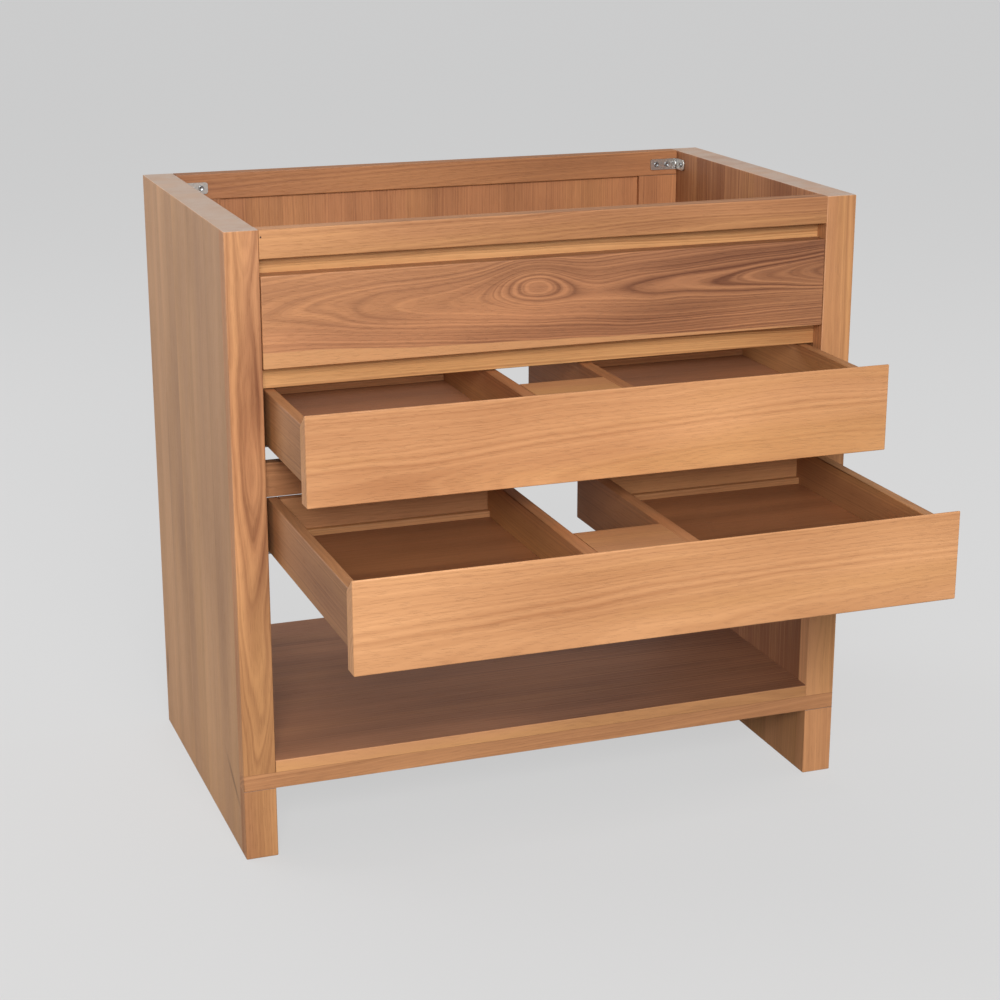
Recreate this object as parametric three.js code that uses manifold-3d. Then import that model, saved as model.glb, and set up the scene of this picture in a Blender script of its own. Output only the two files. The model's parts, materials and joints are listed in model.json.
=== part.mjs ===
// Bathroom vanity cabinet in solid teak, without its countertop and basin.
//
// Two 45 mm side panels stand on the floor and carry everything else: a face frame in front, a framed
// panel behind the basin bay, a fixed false front, two drawers with a plumbing notch, and a low shelf.
// The drawers have no handles. A bevel along the inner top edge of each front is the finger grip.
// Each drawer hangs on two concealed three-part slides under its bottom.
//
// Millimetres, +X to the right, +Y to the back, +Z up. The front plane of the closed cabinet is y = 0
// inside the cabinet group, and the floor is z = 0. Both drawers stand part open.

import * as THREE from 'three';
import { mergeVertices } from 'three/addons/utils/BufferGeometryUtils.js';
import Module from 'manifold-3d';

const wasm = await Module();
wasm.setup();

// ---- driving dimensions ----

const WIDTH = 900;
const DEPTH = 530;
const HEIGHT = 870;

const GLUE_LINE = 0.3; // between pieces that touch
const SIDE_THICK = 45; // side panels, and the width of the stiles in front of them
const FACE_THICK = 25; // face frame, drawer fronts and back frame
const INNER_RAIL_THICK = 18;

const LEG_TOP = 101;
const SHELF_UNDER = 124.5; // top of the bottom rail
const SHELF_THICK = 17;
const CLEAT = 20; // square section under the shelf

const TOP_RAIL_UNDER = 832;
const FALSE_FRONT_TOP = 810;
const FALSE_FRONT_UNDER = 688;
const RAIL_LAP = 17; // how far an inner rail runs up behind the board it carries
const LOWER_INNER_UNDER = 657;
const MID_RAIL_UNDER = 509;
const MID_RAIL_HIGH = 47;

const BACK_STILE_WIDE = 65;
const BACK_FRAME_UNDER = 640;
const BACK_LOWER_RAIL_HIGH = 35;
const BACK_PANEL_THICK = 12;
const BACK_PANEL_RECESS = 7;

const FIXED_REVEAL = 1; // gap at each end of the false front
const REVEAL = 3; // gap at each end of a drawer front
const DRAWER_FRONT_HIGH = 118;
const GRIP_FLAT = 3; // flat left on top of a front, before the bevel
const GRIP_DROP = 19; // how far the bevel falls towards the back
const BOX_RISE = 24; // underside of the drawer box above the front's lower edge
const BOX_BACK = 422; // rear of the drawer box, behind the face of its front
const BOX_SIDE_THICK = 15;
const BOX_CLEARANCE = 7; // between a drawer side and the cabinet
const BOTTOM_RECESS = 13; // room under the drawer bottom for the slides
const BOTTOM_THICK = 9;
const GROOVE_DEEP = 5;
const PARTITION_THICK = 18;
const NOTCH_LEFT = -73; // clear space for the waste trap and pipes
const NOTCH_RIGHT = 47;
const NOTCH_FRONT = 138.5; // where it starts, behind the face of the drawer front
const BRIDGE_THICK = 15; // flat board that joins the two bins in front of the notch
const BATTEN_THICK = 8.5;
const BATTEN_HIGH = 9;

const SLIDE_LONG = 400;
const SLIDE_FRONT = 28;
const SLIDE_WALL = 1.5;

const DRAWERS = [
  { name: 'upper', frontUnder: 556, pulledOut: 195 },
  { name: 'lower', frontUnder: 408, pulledOut: 390 },
];

// ---- finishes ----

function wood(colour, roughness = 0.6) {
  return new THREE.MeshStandardMaterial({ color: colour, roughness, metalness: 0 });
}

const TEAK_CASE = wood(0xb07f57);
const TEAK_FRONT = wood(0xc98f62);
const TEAK_FIGURED = wood(0xb0784e);
const TEAK_SAP = wood(0xc49458);
const TEAK_INSIDE = wood(0x8a5a3c, 0.7);
const TEAK_SHELF = wood(0x7c5038, 0.55);
const ZINC = new THREE.MeshStandardMaterial({ color: 0xb4b6b4, roughness: 0.38, metalness: 0.9 });
const SLIDE_STEEL = new THREE.MeshStandardMaterial({ color: 0x9da0a2, roughness: 0.42, metalness: 0.9 });

// ---- shapes ----

const SIDES = [
  { name: 'left', sign: -1 },
  { name: 'right', sign: 1 },
];

function place(parent, name, geometry, material) {
  const mesh = new THREE.Mesh(geometry, material);
  mesh.name = name;
  parent.add(mesh);
  return mesh;
}

// A rectangular block between two corners, given as ranges along X, Y and Z.
function block([x0, x1], [y0, y1], [z0, z1]) {
  const geometry = new THREE.BoxGeometry(x1 - x0, y1 - y0, z1 - z0);
  geometry.translate((x0 + x1) / 2, (y0 + y1) / 2, (z0 + z1) / 2);
  return geometry;
}

// A section drawn as [y, z] points, run along X.
function runAlongX(points, [x0, x1]) {
  const shape = new THREE.Shape(points.map(([y, z]) => new THREE.Vector2(y, z)));
  const geometry = new THREE.ExtrudeGeometry(shape, { depth: x1 - x0, bevelEnabled: false });
  const turn = new THREE.Matrix4().makeBasis(
    new THREE.Vector3(0, 1, 0), new THREE.Vector3(0, 0, 1), new THREE.Vector3(1, 0, 0));
  geometry.applyMatrix4(turn);
  geometry.translate(x0, 0, 0);
  return geometry;
}

// A section drawn as [x, z] points, run along Y.
function runAlongY(points, [y0, y1]) {
  const shape = new THREE.Shape(points.map(([x, z]) => new THREE.Vector2(x, z)));
  const geometry = new THREE.ExtrudeGeometry(shape, { depth: y1 - y0, bevelEnabled: false });
  geometry.rotateX(Math.PI / 2);
  geometry.translate(0, y1, 0);
  return geometry;
}

// An outline drawn as [x, y] points, raised along Z.
function runAlongZ(points, [z0, z1]) {
  const shape = new THREE.Shape(points.map(([x, y]) => new THREE.Vector2(x, y)));
  const geometry = new THREE.ExtrudeGeometry(shape, { depth: z1 - z0, bevelEnabled: false });
  geometry.translate(0, 0, z0);
  return geometry;
}

function toSolid(geometry) {
  const bare = geometry.clone();
  bare.deleteAttribute('normal');
  bare.deleteAttribute('uv');
  const merged = mergeVertices(bare, 1e-4);
  return new wasm.Manifold(new wasm.Mesh({
    numProp: 3,
    vertProperties: new Float32Array(merged.attributes.position.array),
    triVerts: new Uint32Array(merged.index.array),
  }));
}

function toGeometry(solid) {
  const mesh = solid.getMesh();
  const geometry = new THREE.BufferGeometry();
  geometry.setAttribute('position', new THREE.BufferAttribute(mesh.vertProperties, 3));
  geometry.setIndex(new THREE.BufferAttribute(mesh.triVerts, 1));
  geometry.computeVertexNormals();
  return geometry;
}

function cutFrom(base, cutters) {
  return toGeometry(cutters.reduce((solid, cutter) => solid.subtract(toSolid(cutter)), toSolid(base)));
}

function joinTo(base, extras) {
  return toGeometry(extras.reduce((solid, extra) => solid.add(toSolid(extra)), toSolid(base)));
}

function span(a, b) {
  return [Math.min(a, b), Math.max(a, b)];
}

function widen([low, high], by) {
  return [low - by, high + by];
}

// A range that starts at distance a from the cabinet's inner side face and ends at distance b.
function inward(sign, a, b) {
  const inner = WIDTH / 2 - SIDE_THICK;
  return sign < 0 ? [-inner + a, -inner + b] : [inner - b, inner - a];
}

// ---- cabinet ----

const INNER = WIDTH / 2 - SIDE_THICK;
const BETWEEN_SIDES = [-INNER + GLUE_LINE, INNER - GLUE_LINE];
const FACE = [0, FACE_THICK - GLUE_LINE];
const BEHIND_FACE = [FACE_THICK, FACE_THICK + INNER_RAIL_THICK];
const BACK_FRAME = [DEPTH - FACE_THICK, DEPTH];
const SHELF_TOP = SHELF_UNDER + SHELF_THICK;

function addCarcass(cabinet) {
  for (const { name, sign } of SIDES) {
    const across = inward(sign, -SIDE_THICK, 0);
    place(cabinet, `${name}_side_panel`, block(across, [FACE_THICK, DEPTH], [0, HEIGHT]), TEAK_CASE);
    place(cabinet, `${name}_stile`, block(across, FACE, [SHELF_UNDER, HEIGHT]), TEAK_CASE);
    place(cabinet, `${name}_leg_front`, block(across, FACE, [0, LEG_TOP - GLUE_LINE]), TEAK_CASE);
  }
  const fullWidth = [-WIDTH / 2, WIDTH / 2];
  place(cabinet, 'bottom_rail', block(fullWidth, FACE, [LEG_TOP, SHELF_UNDER - GLUE_LINE]), TEAK_CASE);
  place(cabinet, 'top_front_rail', block(BETWEEN_SIDES, FACE, [TOP_RAIL_UNDER, HEIGHT]), TEAK_CASE);
}

function addFalseFront(cabinet) {
  const acrossFront = [-INNER + FIXED_REVEAL, INNER - FIXED_REVEAL];
  const falseFront = block(acrossFront, FACE, [FALSE_FRONT_UNDER, FALSE_FRONT_TOP]);
  place(cabinet, 'false_front', falseFront, TEAK_FIGURED);
  const upper = [FALSE_FRONT_TOP - RAIL_LAP, TOP_RAIL_UNDER + RAIL_LAP];
  const lower = [LOWER_INNER_UNDER, FALSE_FRONT_UNDER + RAIL_LAP];
  place(cabinet, 'upper_inner_rail', block(BETWEEN_SIDES, BEHIND_FACE, upper), TEAK_SAP);
  place(cabinet, 'lower_inner_rail', block(BETWEEN_SIDES, BEHIND_FACE, lower), TEAK_SAP);
  const middle = [MID_RAIL_UNDER, MID_RAIL_UNDER + MID_RAIL_HIGH];
  place(cabinet, 'mid_rail', block(BETWEEN_SIDES, BEHIND_FACE, middle), TEAK_CASE);
}

function addShelf(cabinet) {
  place(cabinet, 'shelf', block(BETWEEN_SIDES, [0, DEPTH], [SHELF_UNDER, SHELF_TOP]), TEAK_SHELF);
  const underShelf = [SHELF_UNDER - GLUE_LINE - CLEAT, SHELF_UNDER - GLUE_LINE];
  const rear = [DEPTH - CLEAT, DEPTH];
  place(cabinet, 'shelf_rear_rail', block(BETWEEN_SIDES, rear, underShelf), TEAK_INSIDE);
  const cleatRun = [FACE_THICK + CLEAT, DEPTH - CLEAT - GLUE_LINE];
  for (const { name, sign } of SIDES) {
    const across = inward(sign, GLUE_LINE, CLEAT);
    place(cabinet, `${name}_shelf_cleat`, block(across, cleatRun, underShelf), TEAK_INSIDE);
  }
}

function addBack(cabinet) {
  place(cabinet, 'back_top_rail', block(BETWEEN_SIDES, BACK_FRAME, [TOP_RAIL_UNDER, HEIGHT]), TEAK_CASE);
  for (const { name, sign } of SIDES) {
    const across = inward(sign, GLUE_LINE, BACK_STILE_WIDE);
    const upright = [BACK_FRAME_UNDER, TOP_RAIL_UNDER - GLUE_LINE];
    place(cabinet, `${name}_back_stile`, block(across, BACK_FRAME, upright), TEAK_CASE);
  }
  const opening = INNER - BACK_STILE_WIDE - GLUE_LINE;
  const railTop = BACK_FRAME_UNDER + BACK_LOWER_RAIL_HIGH;
  const lowerRail = block([-opening, opening], BACK_FRAME, [BACK_FRAME_UNDER, railTop]);
  place(cabinet, 'back_lower_rail', lowerRail, TEAK_CASE);
  const panelFace = DEPTH - FACE_THICK + BACK_PANEL_RECESS;
  const panel = block([-opening, opening], [panelFace, panelFace + BACK_PANEL_THICK],
    [railTop + GLUE_LINE, TOP_RAIL_UNDER - GLUE_LINE]);
  place(cabinet, 'back_panel', panel, TEAK_CASE);
}

// An angle of zinc-plated strip in each rear top corner, with its three screw heads.
function addCornerBrackets(cabinet) {
  const thick = 2;
  const onRail = 46;
  const onSide = 30;
  const height = 17;
  const under = 841;
  const headRadius = 4.2;
  const headStand = 1.6;
  const corner = { x: INNER - GLUE_LINE, y: DEPTH - FACE_THICK - GLUE_LINE };
  const screwZ = under + height / 2;
  for (const { name, sign } of SIDES) {
    const outline = [
      [0, 0], [-onRail, 0], [-onRail, -thick], [-thick, -thick], [-thick, -onSide], [0, -onSide],
    ].map(([x, y]) => [sign * (corner.x + x), corner.y + y]);
    const heads = [];
    for (const along of [18, 36]) {
      const head = new THREE.CylinderGeometry(headRadius, headRadius, headStand + 1, 16);
      head.translate(sign * (corner.x - along), corner.y - thick - (headStand - 1) / 2, screwZ);
      heads.push(head);
    }
    const sideHead = new THREE.CylinderGeometry(headRadius, headRadius, headStand + 1, 16);
    sideHead.rotateZ(Math.PI / 2);
    sideHead.translate(sign * (corner.x - thick - (headStand - 1) / 2), corner.y - 19, screwZ);
    heads.push(sideHead);
    const bracket = joinTo(runAlongZ(outline, [under, under + height]), heads);
    place(cabinet, `${name}_corner_bracket`, bracket, ZINC);
  }
}

// ---- drawers ----

const BOX_OUTER = INNER - BOX_CLEARANCE;
const BOX_INNER = BOX_OUTER - BOX_SIDE_THICK;
const BOX_FRONT = FACE_THICK + GLUE_LINE;

function addDrawer(drawer, { name, frontUnder }) {
  const boxUnder = frontUnder + BOX_RISE;
  const boxTop = frontUnder + DRAWER_FRONT_HIGH - GRIP_DROP;
  const bottomUnder = boxUnder + BOTTOM_RECESS;
  const floor = bottomUnder + BOTTOM_THICK;
  const grooveRange = [bottomUnder - GLUE_LINE, floor + GLUE_LINE];
  const aboveFloor = [floor + GLUE_LINE, boxTop];
  const boxRun = [BOX_FRONT, BOX_BACK];

  const frontTop = frontUnder + DRAWER_FRONT_HIGH;
  const section = [
    [0, frontUnder], [FACE_THICK, frontUnder], [FACE_THICK, boxTop], [GRIP_FLAT, frontTop], [0, frontTop],
  ];
  const acrossFront = [-INNER + REVEAL, INNER - REVEAL];
  place(drawer, `${name}_drawer_front`, runAlongX(section, acrossFront), TEAK_FRONT);

  for (const { name: side, sign } of SIDES) {
    const across = inward(sign, BOX_CLEARANCE, BOX_CLEARANCE + BOX_SIDE_THICK);
    const grooveFrom = BOX_CLEARANCE + BOX_SIDE_THICK - GROOVE_DEEP;
    const grooveAcross = inward(sign, grooveFrom, grooveFrom + 2 * GROOVE_DEEP);
    const groove = block(grooveAcross, [0, DEPTH], grooveRange);
    const board = cutFrom(block(across, boxRun, [boxUnder, boxTop]), [groove]);
    place(drawer, `${name}_drawer_${side}_side`, board, TEAK_FRONT);
  }

  // The partitions line the plumbing notch. In front they stand on the bottom; behind they hold its edge.
  const notchFace = { left: NOTCH_LEFT, right: NOTCH_RIGHT };
  for (const { name: side, sign } of SIDES) {
    const outerFace = notchFace[side] + sign * PARTITION_THICK;
    const across = span(notchFace[side], outerFace);
    const foot = block(widen(across, GROOVE_DEEP), [0, NOTCH_FRONT + GLUE_LINE],
      [boxUnder - GROOVE_DEEP, floor + GLUE_LINE]);
    const groove = block(widen([outerFace, outerFace], GROOVE_DEEP), [0, DEPTH], grooveRange);
    const board = cutFrom(block(across, boxRun, [boxUnder, boxTop]), [foot, groove]);
    place(drawer, `${name}_drawer_${side}_partition`, board, TEAK_INSIDE);
  }

  // In front of the notch a bridge lies flush with the partitions, and a cross-piece closes it behind.
  const betweenPartitions = [NOTCH_LEFT + GLUE_LINE, NOTCH_RIGHT - GLUE_LINE];
  const bridge = block(betweenPartitions, [BOX_FRONT, NOTCH_FRONT], [boxTop - BRIDGE_THICK, boxTop]);
  place(drawer, `${name}_drawer_bridge`, bridge, TEAK_INSIDE);
  const crossPiece = block(betweenPartitions, [NOTCH_FRONT - PARTITION_THICK, NOTCH_FRONT],
    [floor + GLUE_LINE, boxTop - BRIDGE_THICK - GLUE_LINE]);
  place(drawer, `${name}_drawer_cross_piece`, crossPiece, TEAK_INSIDE);

  const edge = BOX_INNER + GROOVE_DEEP - GLUE_LINE;
  const notchLeft = NOTCH_LEFT - PARTITION_THICK + GROOVE_DEEP - GLUE_LINE;
  const notchRight = NOTCH_RIGHT + PARTITION_THICK - GROOVE_DEEP + GLUE_LINE;
  const bottom = [
    [-edge, BOX_FRONT], [edge, BOX_FRONT], [edge, BOX_BACK], [notchRight, BOX_BACK],
    [notchRight, NOTCH_FRONT], [notchLeft, NOTCH_FRONT], [notchLeft, BOX_BACK], [-edge, BOX_BACK],
  ];
  place(drawer, `${name}_drawer_bottom`, runAlongZ(bottom, [bottomUnder, floor]), TEAK_INSIDE);

  const backRun = [BOX_BACK - BOX_SIDE_THICK, BOX_BACK];
  const battenRun = [backRun[0] - GLUE_LINE - BATTEN_THICK, backRun[0] - GLUE_LINE];
  const battenHigh = [floor + GLUE_LINE, floor + BATTEN_HIGH];
  const bays = {
    left: [-BOX_INNER + GLUE_LINE, NOTCH_LEFT - PARTITION_THICK - GLUE_LINE],
    right: [NOTCH_RIGHT + PARTITION_THICK + GLUE_LINE, BOX_INNER - GLUE_LINE],
  };
  for (const side of ['left', 'right']) {
    place(drawer, `${name}_drawer_${side}_back`, block(bays[side], backRun, aboveFloor), TEAK_INSIDE);
    place(drawer, `${name}_drawer_${side}_batten`, block(bays[side], battenRun, battenHigh), TEAK_SAP);
  }
}

// ---- concealed slides ----

// Sections are drawn as [distance from the cabinet's inner side face, height above the box underside].
// The cabinet member is an angle with an upright rib. The runner and the drawer member are channels
// that open downwards, one over the other, over that rib.
const CABINET_MEMBER = [
  [GLUE_LINE, -3], [38, -3], [38, -1], [31, -1], [31, 6.5], [29, 6.5], [29, -1], [2.3, -1], [2.3, 22],
  [GLUE_LINE, 22],
];

function channel(from, to, low, high) {
  return [
    [from, low], [from + SLIDE_WALL, low], [from + SLIDE_WALL, high - SLIDE_WALL],
    [to - SLIDE_WALL, high - SLIDE_WALL], [to - SLIDE_WALL, low], [to, low], [to, high], [from, high],
  ];
}

const RUNNER = channel(26, 34, 0.6, 9.5);
const DRAWER_MEMBER = channel(23.5, 36.5, 2, 12.5);

function addSlide(groups, { name, frontUnder }) {
  const boxUnder = frontUnder + BOX_RISE;
  const members = [
    ['cabinet_slide', groups.cabinet, CABINET_MEMBER, [SLIDE_FRONT, SLIDE_FRONT + SLIDE_LONG]],
    ['runner', groups.runners, RUNNER, [SLIDE_FRONT + 2, SLIDE_FRONT + SLIDE_LONG - 8]],
    ['drawer_slide', groups.drawer, DRAWER_MEMBER, [SLIDE_FRONT - 1, BOX_BACK - 6]],
  ];
  for (const { name: side, sign } of SIDES) {
    for (const [kind, parent, section, run] of members) {
      const points = section.map(([from, up]) => [sign * (INNER - from), boxUnder + up]);
      place(parent, `${name}_${side}_${kind}`, runAlongY(points, run), SLIDE_STEEL);
    }
  }
}

// ---- assembly ----

const cabinet = new THREE.Group();
addCarcass(cabinet);
addFalseFront(cabinet);
addShelf(cabinet);
addBack(cabinet);
addCornerBrackets(cabinet);

for (const spec of DRAWERS) {
  const drawer = new THREE.Group();
  const runners = new THREE.Group();
  drawer.position.y = -spec.pulledOut;
  runners.position.y = -spec.pulledOut / 2;
  addDrawer(drawer, spec);
  addSlide({ cabinet, runners, drawer }, spec);
  cabinet.add(drawer, runners);
}

// The origin is on the floor, at the middle of the rectangle that the cabinet and its open drawers cover.
const furthestOut = Math.max(...DRAWERS.map((spec) => spec.pulledOut));
cabinet.position.y = -(DEPTH - furthestOut) / 2;

const vanity = new THREE.Group();
vanity.add(cabinet);

export default vanity;
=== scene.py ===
# %% [markdown]
# # A bathroom vanity cabinet in oiled teak
# The cabinet is a set of solid teak boards: two thick side panels on the floor, a face frame, a fixed
# false front, two notched drawers on concealed slides, a framed back and a low shelf. It has no top yet,
# so a basin can be set on it. This lesson dresses the engineer's plain blocks as a joiner would leave
# them: edges eased with a block plane, grain running the right way along every board, and real fittings.
# The plain blocks come from one file that fixes every size. Nothing here moves or resizes them.

# %% Load the fixed blocks
import json
import math
import random

import bmesh
import bpy
from mathutils import Matrix, Vector


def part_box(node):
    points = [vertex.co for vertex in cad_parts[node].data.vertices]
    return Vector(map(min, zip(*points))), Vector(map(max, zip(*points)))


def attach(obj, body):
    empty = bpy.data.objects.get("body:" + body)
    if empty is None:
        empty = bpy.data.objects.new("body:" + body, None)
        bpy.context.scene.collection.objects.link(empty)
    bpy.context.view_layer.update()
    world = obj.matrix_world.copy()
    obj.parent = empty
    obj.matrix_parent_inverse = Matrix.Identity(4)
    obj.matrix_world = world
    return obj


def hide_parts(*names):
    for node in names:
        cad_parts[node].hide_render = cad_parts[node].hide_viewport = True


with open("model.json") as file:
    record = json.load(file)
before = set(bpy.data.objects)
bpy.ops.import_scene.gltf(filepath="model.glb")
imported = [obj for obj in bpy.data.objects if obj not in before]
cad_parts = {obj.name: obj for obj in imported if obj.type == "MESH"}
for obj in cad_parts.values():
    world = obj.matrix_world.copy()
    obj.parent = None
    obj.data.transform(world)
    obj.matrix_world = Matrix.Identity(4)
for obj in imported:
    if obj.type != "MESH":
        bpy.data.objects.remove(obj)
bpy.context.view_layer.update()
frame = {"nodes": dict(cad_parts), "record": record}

X, Y, Z = 0, 1, 2

# %% [markdown]
# ## The camera
# The view is from the front left, a little above the cabinet, through a portrait-length lens. A long
# lens keeps the boards nearly parallel. The camera could be aimed with a Track To constraint, but two
# angles say the same thing in numbers that a reader can check.

# %% Camera
EYE = Vector((-1.037, -2.708, 1.330))
TURN_RIGHT = math.radians(19.95)
LOOK_DOWN = math.radians(16.86)
FOCAL_LENGTH = 77.2

scene = bpy.context.scene
lens = bpy.data.cameras.new("lens")
lens.lens = FOCAL_LENGTH
viewer = bpy.data.objects.new("viewer", lens)
viewer.location = EYE
viewer.rotation_euler = (math.pi / 2 - LOOK_DOWN, 0, -TURN_RIGHT)
scene.collection.objects.link(viewer)
scene.camera = viewer
scene.view_settings.view_transform = "Standard"

# %% [markdown]
# ## The studio floor and air
# A product studio is a pale floor under a pale, even sky. A white floor throws so much light back up that
# dark corners go milky. A photographer hides that with black flags. Here the Light Path node does it: the
# floor and the air are pale to the camera's own rays and dull to every ray that has bounced. Dimming the
# lamps would not do, because the bright and the dark boards would then sink together.

# %% Floor and air
FLOOR_RADIUS = 60.0
FLOOR_SEEN, FLOOR_BOUNCED = (0.15, 0.15, 0.151, 1), (0.24, 0.235, 0.23, 1)
GLOW_SEEN, GLOW_BOUNCED = (0.55, 0.55, 0.55, 1), (0, 0, 0, 1)
AIR_COLOUR = (0.80, 0.81, 0.83, 1)
AIR_SEEN, AIR_BOUNCED = 0.74, 0.34
MIX_SOCKETS = {"FLOAT": (2, 3, 0), "RGBA": (6, 7, 2)}


def split_rays(tree, kind, bounced, seen, socket):
    """Gives a socket one value for the camera's own rays and another for bounced light."""
    first, second, result = MIX_SOCKETS[kind]
    ray = tree.nodes.new("ShaderNodeLightPath")
    choice = tree.nodes.new("ShaderNodeMix")
    choice.data_type = kind
    choice.inputs[first].default_value = bounced
    choice.inputs[second].default_value = seen
    tree.links.new(ray.outputs["Is Camera Ray"], choice.inputs[0])
    tree.links.new(choice.outputs[result], socket)


def studio_floor():
    bm = bmesh.new()
    bmesh.ops.create_circle(bm, cap_ends=True, segments=96, radius=FLOOR_RADIUS)
    mesh = bpy.data.meshes.new("studio_floor")
    bm.to_mesh(mesh)
    bm.free()
    floor = bpy.data.objects.new("studio_floor", mesh)
    scene.collection.objects.link(floor)
    paint = bpy.data.materials.new("floor_paint")
    paint.use_nodes = True
    shader = paint.node_tree.nodes["Principled BSDF"]
    shader.inputs["Roughness"].default_value = 0.9
    shader.inputs["Specular IOR Level"].default_value = 0.1
    shader.inputs["Emission Strength"].default_value = 1.0
    split_rays(paint.node_tree, "RGBA", FLOOR_BOUNCED, FLOOR_SEEN, shader.inputs["Base Color"])
    split_rays(paint.node_tree, "RGBA", GLOW_BOUNCED, GLOW_SEEN, shader.inputs["Emission Color"])
    mesh.materials.append(paint)


def studio_air():
    air = bpy.data.worlds.new("studio_air")
    air.use_nodes = True
    background = air.node_tree.nodes["Background"]
    background.inputs["Color"].default_value = AIR_COLOUR
    split_rays(air.node_tree, "FLOAT", AIR_BOUNCED, AIR_SEEN, background.inputs["Strength"])
    scene.world = air


studio_floor()
studio_air()
print("floor radius", FLOOR_RADIUS, "m, air strength", AIR_SEEN, "seen and", AIR_BOUNCED, "bounced")

# %% [markdown]
# ## The lamps
# Four large soft lamps light the cabinet. The key hangs in front and to the left, so the fronts are bright,
# the left side is a shade duller and the inside falls off into brown. One behind on the left puts a sheen
# on the side panel, a weak one on the right lifts the shadows, and one overhead catches all that faces up.
# Area lamps are used because a lamp's size is what makes a shadow soft. A sun lamp would cut hard edges.

# %% Lamps
MIDDLE = Vector((0.0, 0.0, 0.45))
LAMPS = {
    "key": {"at": (-1.0, -4.3, 2.5), "width": 2.4, "height": 1.8, "watts": 216, "tint": (1.0, 0.985, 0.96)},
    "side_sheen": {"at": (-3.6, 2.6, 1.5), "width": 2.4, "height": 2.4, "watts": 84},
    "right_fill": {"at": (4.2, 0.2, 1.6), "width": 2.2, "height": 2.2, "watts": 40},
    "overhead": {"at": (-0.3, 1.9, 4.0), "width": 2.6, "height": 2.0, "watts": 34},
}


def softbox(name, at, width, height, watts, tint=(1, 1, 1)):
    """A rectangular lamp that is turned to face the middle of the cabinet."""
    lamp = bpy.data.lights.new(name, "AREA")
    lamp.shape = "RECTANGLE"
    lamp.size = width
    lamp.size_y = height
    lamp.energy = watts
    lamp.color = tint
    holder = bpy.data.objects.new(name, lamp)
    holder.location = at
    holder.rotation_euler = (MIDDLE - Vector(at)).to_track_quat("-Z", "Y").to_euler()
    scene.collection.objects.link(holder)


for name, lamp in LAMPS.items():
    softbox(name, **lamp)

# %% [markdown]
# ## Shader arithmetic
# Wood needs a good deal of arithmetic: distances, fractions and blends. Wiring Math nodes by hand hides
# the formula. So a small class wraps a socket and overloads the operators, and an expression such as
# `1 - mask * 0.5` adds its own Math nodes. Every other node comes from one method, `add`.

# %% Wire and Recipe
class Wire:
    """One socket's value. Arithmetic on it adds Math nodes to its recipe."""

    def __init__(self, recipe, socket):
        self.recipe, self.socket = recipe, socket

    def __add__(self, other):
        return self.recipe.math_of("ADD", self, other)

    def __sub__(self, other):
        return self.recipe.math_of("SUBTRACT", self, other)

    def __rsub__(self, other):
        return self.recipe.math_of("SUBTRACT", other, self)

    def __mul__(self, other):
        return self.recipe.math_of("MULTIPLY", self, other)

    def __truediv__(self, other):
        return self.recipe.math_of("DIVIDE", self, other)

    __radd__, __rmul__ = __add__, __mul__

    def size(self):
        return self.recipe.math_of("ABSOLUTE", self)

    def clamped(self):
        return self.recipe.add("Clamp", {}, {"Value": self})

    def rise(self, low, high):
        """0 below low, 1 above high, and a smooth step between them."""
        limits = {"Value": self, "From Min": low, "From Max": high}
        return self.recipe.add("MapRange", {"interpolation_type": "SMOOTHSTEP"}, limits)


class Recipe:
    """A material being written. It ends with `finish`, which sets the Principled shader."""

    def __init__(self, name):
        self.material = bpy.data.materials.new(name)
        self.material.use_nodes = True
        self.tree = self.material.node_tree
        self.shader = self.tree.nodes["Principled BSDF"]

    def add(self, kind, settings, values, output=0):
        node = self.tree.nodes.new("ShaderNode" + kind)
        for key, value in settings.items():
            setattr(node, key, value)
        for key, value in values.items():
            self.plug(node.inputs[key], value)
        return Wire(self, node.outputs[output])

    def plug(self, socket, value):
        if isinstance(value, Wire):
            self.tree.links.new(value.socket, socket)
        else:
            socket.default_value = value

    def math_of(self, operation, *values):
        return self.add("Math", {"operation": operation}, dict(enumerate(values)))

    def vector_of(self, operation, first, second, output=0):
        return self.add("VectorMath", {"operation": operation}, {0: first, 1: second}, output)

    def object_place(self):
        return self.add("TexCoord", {}, {}, output=3)

    def axis(self, vector, index):
        return self.add("SeparateXYZ", {}, {"Vector": vector}, output=index)

    def noise(self, place, scale=1.0, detail=2.0, roughness=0.5, output=0):
        values = {"Vector": place, "Scale": scale, "Detail": detail, "Roughness": roughness}
        return self.add("TexNoise", {}, values, output)

    def fibrous(self, place, repeats, detail=2.0, roughness=0.5, output=0):
        """Noise with so many repeats a metre along the fibres and so many across them."""
        along, across = repeats
        stretched = self.vector_of("MULTIPLY", place, (along, across, across))
        return self.noise(stretched, detail=detail, roughness=roughness, output=output)

    def blend(self, amount, first, second):
        """A colour between two, by amount."""
        return self.add("Mix", {"data_type": "RGBA"}, {0: amount, 6: first, 7: second}, output=2)

    def bump(self, height, depth):
        return self.add("Bump", {}, {"Height": height, "Distance": depth, "Strength": 1.0})

    def finish(self, **sockets):
        for name, value in sockets.items():
            self.plug(self.shader.inputs[name.replace("_", " ").title()], value)
        return self.material


def colour(red, green, blue):
    """A shader colour from the 0 to 255 values that a paint card gives."""
    levels = [level / 255 for level in (red, green, blue)]
    return (*[v / 12.92 if v <= 0.04045 else ((v + 0.055) / 1.055) ** 2.4 for v in levels], 1)


print("a mid brown:", [round(v, 3) for v in colour(128, 84, 55)])

# %% [markdown]
# ## Knots, sapwood and marks
# Three things break the even figure of a board. A knot is where a branch left the trunk, and the rings
# swerve round it. Sapwood is the pale outer wood of the tree, along one edge of a board. A mark is a
# short dark streak of gum. A painted image could hold all three, but it would stop at the corners. Each
# is a formula on the solid wood here: a hill for a knot or a mark, and a slanting line for the sapwood.

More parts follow.
